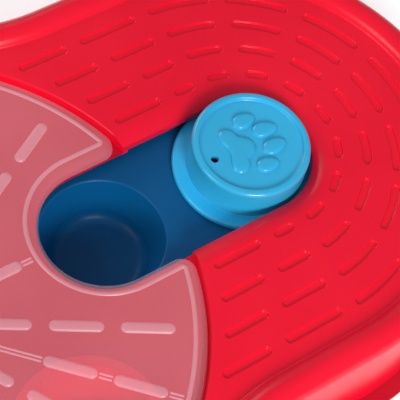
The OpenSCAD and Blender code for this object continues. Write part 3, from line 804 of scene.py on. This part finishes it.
def lid_dashes():
    """Spines of the raised dashes."""
    spines = []
    half = lid_dash_w / 2
    for k in range(lid_rows):
        if k == 0:
            spines.append(ray(k, lid_first, lid_first + lid_dash_l))
        elif k not in (1, lid_rows - 1):
            for i in range(2 if k % rib_every == 0 else 3):
                far = lid_dash_r - i * (lid_dash_l + lid_dash_gap)
                spines.append(ray(k, far - lid_dash_l + half, far - half))
    return spines


def lid_ribs():
    """Spines of the thin double ribs: in each ribbed row, where no dash lies on them."""
    spines = []
    inner = lid_hub_r + 1.0
    for k in range(0, lid_rows, rib_every):
        outer = (well_x - notch_hw if k == 0 else lid_r) - corner_r - 0.5
        stops = [inner]
        if k == 0:
            stops += [lid_first - rib_foot_gap, lid_first + lid_dash_l + rib_foot_gap]
        else:
            for i in (1, 0):
                far = lid_dash_r - i * (lid_dash_l + lid_dash_gap)
                stops += [far - lid_dash_l - rib_end_gap, far + rib_end_gap]
        stops += [outer]
        for near, far in zip(stops[::2], stops[1::2]):
            if far - near > shortest_rib:
                spines += [ray(k, near + 0.4, far - 0.4, side) for side in (rib_side, -rib_side)]
    return spines


print("dashes and rib lines:", len(lid_dashes()), len(lid_ribs()))

# %% Lid
bm = bmesh.new()
rings = sweep(bm, lid_outline(), lid_section(), False)
tops = [raised(bm, spine, lid_dash_w, lid_dash_h) for spine in lid_dashes()]
tops += [thin_rib(bm, spine) for spine in lid_ribs()]
hub = [(lid_hub_r + 0.6, 0.0), (lid_hub_r + 0.15, 0.15), (lid_hub_r, lid_hub_top - 0.2)]
hub += [(lid_hub_r - 0.25, lid_hub_top), (bore_r, lid_hub_top), (bore_r, lid_hub_low)]
hub += [(lid_hub_r, lid_hub_low), (lid_hub_r, -lid_t)]
hub_rings = lathe(bm, 0, 0, hub, 72)
plate(bm, [r[0] for r in rings], tops + [[r[0] for r in hub_rings]])
plate(bm, [r[-1] for r in rings], [[r[-1] for r in hub_rings]])
print("raised forms on the lid:", len(tops))
lid_skin = piece("lid_skin", bm, "lid", ["disc_lid", "lid_notch_edge"], 60)

# %% [markdown]
# Shader maths reads best as plain arithmetic. This class wraps a node's output, so that 1 - mask or
# 0.3 + 0.1 * noise adds the Math nodes that do it. Every other node comes from one method that takes
# its type, its settings and what goes into its sockets.

# %% A small language for materials


class Wire:
    """The output of a node, which can be used in arithmetic."""

    def __init__(self, shader, socket):
        self.shader = shader
        self.socket = socket

    def maths(self, operation, first, second):
        return self.shader.node("ShaderNodeMath", {"operation": operation}, {0: first, 1: second})

    def __add__(self, other):
        return self.maths("ADD", self, other)

    def __radd__(self, other):
        return self.maths("ADD", other, self)

    def __sub__(self, other):
        return self.maths("SUBTRACT", self, other)

    def __rsub__(self, other):
        return self.maths("SUBTRACT", other, self)

    def __mul__(self, other):
        return self.maths("MULTIPLY", self, other)

    def __rmul__(self, other):
        return self.maths("MULTIPLY", other, self)


class Shader:
    """A material's node tree, filled by calls of node()."""

    def __init__(self, name):
        self.material = bpy.data.materials.new(name)
        self.material.use_nodes = True
        self.tree = self.material.node_tree
        self.tree.nodes.clear()

    def node(self, kind, settings=None, inputs=None, output=0):
        """Adds a node, sets it up and returns one of its outputs."""
        made = self.tree.nodes.new(kind)
        for key, value in (settings or {}).items():
            if key == "stops":
                for place, (at, colour) in enumerate(value):
                    stop = made.color_ramp.elements[place] if place < 2 else made.color_ramp.elements.new(at)
                    stop.position = at
                    stop.color = colour
            else:
                setattr(made, key, value)
        for key, value in (inputs or {}).items():
            if isinstance(value, Wire):
                self.tree.links.new(value.socket, made.inputs[key])
            else:
                made.inputs[key].default_value = value
        return Wire(self, made.outputs[output]) if made.outputs else made

    def surface(self, wire):
        """Ends the tree."""
        self.node("ShaderNodeOutputMaterial", {}, {"Surface": wire})
        return self.material


def linear(red, green, blue):
    """A colour as seen on screen, 0 to 255, in the values that light is worked out in."""
    shares = [v / 255 for v in (red, green, blue)]
    return tuple(v / 12.92 if v <= 10 / 255 else ((v + 0.055) / 1.055) ** 2.4 for v in shares)


# %% [markdown]
# Moulded plastic is one colour, but never quite even: the melt leaves faint clouds, the mould's texture
# spreads the highlights, and handling polishes some patches. Slow noise moves colour and roughness a
# little, and fine noise gives the mould's grain as a bump too small to model.

# %% Moulded plastic


def moulded(name, colour, roughness, grain=0.02, clouds=0.06, grain_scale=900, specular=0.5):
    """A procedural moulded plastic."""
    s = Shader(name)
    place = s.node("ShaderNodeTexCoord", output="Object")
    slow = s.node(
        "ShaderNodeTexNoise", {}, {"Vector": place, "Scale": 16.0, "Detail": 3.0, "Roughness": 0.55})
    fine = s.node("ShaderNodeTexNoise", {}, {"Vector": place, "Scale": grain_scale, "Detail": 2.0})
    scuff = s.node(
        "ShaderNodeTexNoise", {}, {"Vector": place, "Scale": 90.0, "Detail": 5.0, "Roughness": 0.7})
    deep = tuple(v * (1 - clouds) for v in colour) + (1.0,)
    pale = tuple(min(1.0, v * (1 + clouds) + 0.004) for v in colour) + (1.0,)
    tone = s.node("ShaderNodeValToRGB", {"stops": [(0.3, deep), (0.7, pale)]}, {"Fac": slow})
    rough = roughness + 0.05 * (slow - 0.5) + 0.06 * (scuff - 0.5)
    bump = s.node("ShaderNodeBump", {}, {"Height": fine, "Strength": grain, "Distance": 0.0004})
    plastic = s.node("ShaderNodeBsdfPrincipled", {}, {
        "Base Color": tone, "Roughness": rough, "Normal": bump, "Specular IOR Level": specular})
    return s.surface(plastic)


red = moulded("moulded_red", linear(236, 4, 44), 0.24, grain=0.03, specular=0.3)
# The recess floor under the lid takes a darker, duller copy of the shell's red. This is painted shade: it
# stands in for the shadow of the lid, which the frosted shader mostly lets light through.
shaded_floor_red = moulded("floor_red_painted_shade", linear(196, 8, 40), 0.4, grain=0.04, specular=0.1)
red_pan = moulded("moulded_dark_red", linear(200, 10, 40), 0.42, grain=0.08, specular=0.25)
red_cup = moulded("moulded_cup_red", linear(220, 14, 50), 0.36, grain=0.05, specular=0.25)
navy = moulded("moulded_navy", linear(0, 82, 134), 0.36, grain=0.05, specular=0.15)
sky = moulded("moulded_sky_blue", linear(44, 174, 222), 0.22, grain=0.03, specular=0.6)
sky_flange = moulded("moulded_flange_blue", linear(38, 178, 232), 0.22, grain=0.03, specular=0.6)
white = moulded("moulded_white", linear(225, 224, 218), 0.4, grain=0.04)
rubber = moulded(
    "moulded_rubber", linear(38, 38, 40), 0.7, grain=0.3, clouds=0.12, grain_scale=500, specular=0.3)
print("plastics:", [m.name for m in (red, shaded_floor_red, red_pan, red_cup, navy, sky, sky_flange, white, rubber)])

# %% [markdown]
# Frosted plastic lets colour through but scatters it. Here a clear shader shows what lies below, a milky
# one covers part of it, and the share of milk grows where the skin is seen edge on. A gloss layer on
# the outer faces follows Fresnel's law, so the highlights are as bright as on solid plastic. The real
# plate scatters light onwards rather than holding it back, so it casts only a faint shadow.

# %% Frosted lid


def frosted(name, milk, colour, roughness):
    """A milky see-through plastic: milk is the share that hides what lies behind."""
    s = Shader(name)
    place = s.node("ShaderNodeTexCoord", output="Object")
    slow = s.node("ShaderNodeTexNoise", {}, {"Vector": place, "Scale": 22.0, "Detail": 3.0})
    fine = s.node("ShaderNodeTexNoise", {}, {"Vector": place, "Scale": 1100.0, "Detail": 2.0})
    bump = s.node("ShaderNodeBump", {}, {"Height": fine, "Strength": 0.06, "Distance": 0.0004})
    edge_on = s.node("ShaderNodeLayerWeight", {}, {"Blend": 0.35}, output="Facing")
    clear = s.node("ShaderNodeBsdfTransparent", {}, {"Color": (1.0, 0.97, 0.98, 1.0)})
    deep = tuple(v * 0.95 for v in colour) + (1.0,)
    tone = s.node("ShaderNodeValToRGB", {"stops": [(0.3, deep), (0.7, colour + (1.0,))]}, {"Fac": slow})
    milky = s.node("ShaderNodeBsdfPrincipled", {}, {
        "Base Color": tone, "Roughness": roughness, "Normal": bump, "Specular IOR Level": 0.3})
    outer = 1 - s.node("ShaderNodeNewGeometry", output="Backfacing")
    passing = 1 - 0.7 * s.node("ShaderNodeLightPath", output="Is Shadow Ray")
    share = (milk + 0.3 * (edge_on * edge_on) + 0.03 * (slow - 0.5)) * passing
    body = s.node("ShaderNodeMixShader", {}, {0: share, 1: clear, 2: milky})
    shine = s.node("ShaderNodeBsdfGlossy", {}, {
        "Color": (1.0, 1.0, 1.0, 1.0), "Roughness": roughness, "Normal": bump})
    law = s.node("ShaderNodeFresnel", {}, {"IOR": 1.4})
    return s.surface(s.node("ShaderNodeMixShader", {}, {0: 0.8 * law * outer * passing, 1: body, 2: shine}))


frost = frosted("frosted_plate", 0.09, linear(255, 216, 230), 0.3)
frost_rib = frosted("frosted_rib", 0.30, linear(255, 222, 234), 0.3)
print("frosted:", frost.name, frost_rib.name)

# %% [markdown]
# Zinc-plated screws sit under the pan and inside the shell. Their plating is a metal with faint streaks.

# %% Zinc


def zinc():
    """A plated steel with fine streaks."""
    s = Shader("zinc_plate")
    place = s.node("ShaderNodeTexCoord", output="Object")
    streak = s.node("ShaderNodeTexNoise", {}, {"Vector": place, "Scale": 700.0, "Detail": 4.0})
    stops = [(0.3, (0.42, 0.42, 0.44, 1)), (0.7, (0.62, 0.62, 0.63, 1))]
    tone = s.node("ShaderNodeValToRGB", {"stops": stops}, {"Fac": streak})
    metal = s.node("ShaderNodeBsdfPrincipled", {}, {
        "Base Color": tone, "Metallic": 1.0, "Roughness": 0.25 + 0.2 * streak})
    return s.surface(metal)


zinc_plate = zinc()
print("metal:", zinc_plate.name)

# %% [markdown]
# New pieces and the solids that stay both get their finish here. On the lid, faces higher than the
# plate belong to dashes, ribs and hub, which are thicker in the real moulding and so look milkier.

# %% Hand the materials out


def wear(made, *materials):
    """Gives an object its materials."""
    made.data.materials.clear()
    for material in materials:
        made.data.materials.append(material)


for made in (shell_rim, shell_slot_edge, shell_recess_edge, shell_deck, shell_rails):
    wear(made, red)
# The recess floor gets the darker red, painted shade for the lid's shadow.
wear(shell_floor, shaded_floor_red)
wear(tray_skin, navy)
wear(cap_skin, sky)
wear(flange_skin, sky_flange)
wear(lid_skin, frost, frost_rib)
for face in lid_skin.data.polygons:
    face.material_index = 1 if face.center.z > (deck_z + 0.02) * MM else 0

# %% Finishes of the solids that stay
node_finish = {"base_pan": red_pan, "hub_spindle": red_pan, "hub_post": red_pan, "hub_cap": red}
node_finish |= {"hub_washer": white}
node_finish |= {"hub_screw": zinc_plate, "shell_screws": zinc_plate, "tray_screws": zinc_plate}
node_finish |= {f"treat_cup_{k}": red_cup for k in range(1, cup_count + 1)}
node_finish |= {name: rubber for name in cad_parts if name.startswith("foot_")}
solid_sharp = math.radians(30)
for name, material in node_finish.items():
    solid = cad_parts[name]
    wear(solid, material)
    solid.data.shade_smooth()
    solid.data.set_sharp_from_angle(angle=solid_sharp)
print("solids finished:", len(node_finish))

# %% [markdown]
# The toy stands on a plain pale floor. The floor is a matte white that also glows a little for the
# camera and for reflections, so it reads as a white studio sweep and still keeps the toy's shadow.

# %% Floor and world
floor_glow = 0.45
floor_half = 4.0


def pale_floor():
    """A matte floor that looks white to the camera and in reflections."""
    s = Shader("pale_floor")
    seen = s.node("ShaderNodeLightPath", output="Is Camera Ray")
    mirrored = s.node("ShaderNodeLightPath", output="Is Glossy Ray")
    through = s.node("ShaderNodeLightPath", output="Is Transmission Ray")
    strength = floor_glow * (seen + mirrored + through)
    matte = s.node("ShaderNodeBsdfDiffuse", {}, {"Color": (0.80, 0.80, 0.80, 1.0)})
    glow = s.node("ShaderNodeEmission", {}, {"Color": (1.0, 1.0, 1.0, 1.0), "Strength": strength})
    return s.surface(s.node("ShaderNodeAddShader", {}, {0: matte, 1: glow}))


bm = bmesh.new()
bmesh.ops.create_grid(bm, x_segments=8, y_segments=8, size=floor_half)
floor_mesh = bpy.data.meshes.new("studio_floor")
bm.to_mesh(floor_mesh)
bm.free()
studio_floor = bpy.data.objects.new("studio_floor", floor_mesh)
bpy.context.scene.collection.objects.link(studio_floor)
wear(studio_floor, pale_floor())

world = bpy.data.worlds.new("studio")
bpy.context.scene.world = world
world.use_nodes = True
sky_light = world.node_tree.nodes["Background"]
sky_light.inputs["Color"].default_value = (0.95, 0.97, 1.0, 1.0)
sky_light.inputs["Strength"].default_value = 0.38
print("floor", 2 * floor_half, "m wide, world light", round(sky_light.inputs["Strength"].default_value, 2))

# %% [markdown]
# The camera looks down at 60 degrees with a long lens, turned a little on its axis, as the photograph
# was taken. A matrix with the camera's right, up and back directions as columns says all of that.

# %% Camera
cam_turn, cam_height, cam_roll = -47.15, 60.07, 16.47
cam_target = Vector((116.3 + hub_x, -9.03, deck_z)) * MM
cam_distance = 545.9 * MM
cam_lens = 133.64

az, el, roll = (math.radians(v) for v in (cam_turn, cam_height, cam_roll))
back = Vector((math.sin(az) * math.cos(el), -math.cos(az) * math.cos(el), math.sin(el)))
level = Vector((math.cos(az), math.sin(az), 0.0))
right = math.cos(roll) * level + math.sin(roll) * back.cross(level)
up = back.cross(right)
camera_data = bpy.data.cameras.new("camera")
camera_data.lens = cam_lens
camera_data.sensor_width = 36.0
camera_data.clip_start = 0.01
camera = bpy.data.objects.new("camera", camera_data)
bpy.context.scene.collection.objects.link(camera)
turn = Matrix((right, up, back)).transposed().to_4x4()
camera.matrix_world = Matrix.Translation(cam_target + back * cam_distance) @ turn
bpy.context.scene.camera = camera
print("camera at", [round(v, 3) for v in camera.matrix_world.translation])

# %% [markdown]
# Three soft lights stand round the toy. The main one is low on the camera's side and draws the bright
# line on every edge that faces it. A larger, weaker one on the far side lights the rim there, and one
# like it fills in over the hub's end.

# %% Lights


def softbox(name, place, size, power):
    """A square soft light at a place, turned towards the toy."""
    data = bpy.data.lights.new(name, "AREA")
    data.shape = "SQUARE"
    data.size = size
    data.energy = power
    made = bpy.data.objects.new(name, data)
    bpy.context.scene.collection.objects.link(made)
    made.location = place
    made.rotation_euler = (light_aim - Vector(place)).to_track_quat("-Z", "Y").to_euler()
    print(name, power, "W")


light_aim = Vector((0.0, 0.0, 0.03))
softbox("near_light", (-0.25, -1.0, 0.6), 0.4, 11.0)
softbox("far_light", (0.1, 1.1, 0.7), 0.6, 3.5)
softbox("side_light", (-1.0, 0.1, 0.8), 0.5, 3.5)
bpy.context.scene.view_settings.view_transform = "Standard"
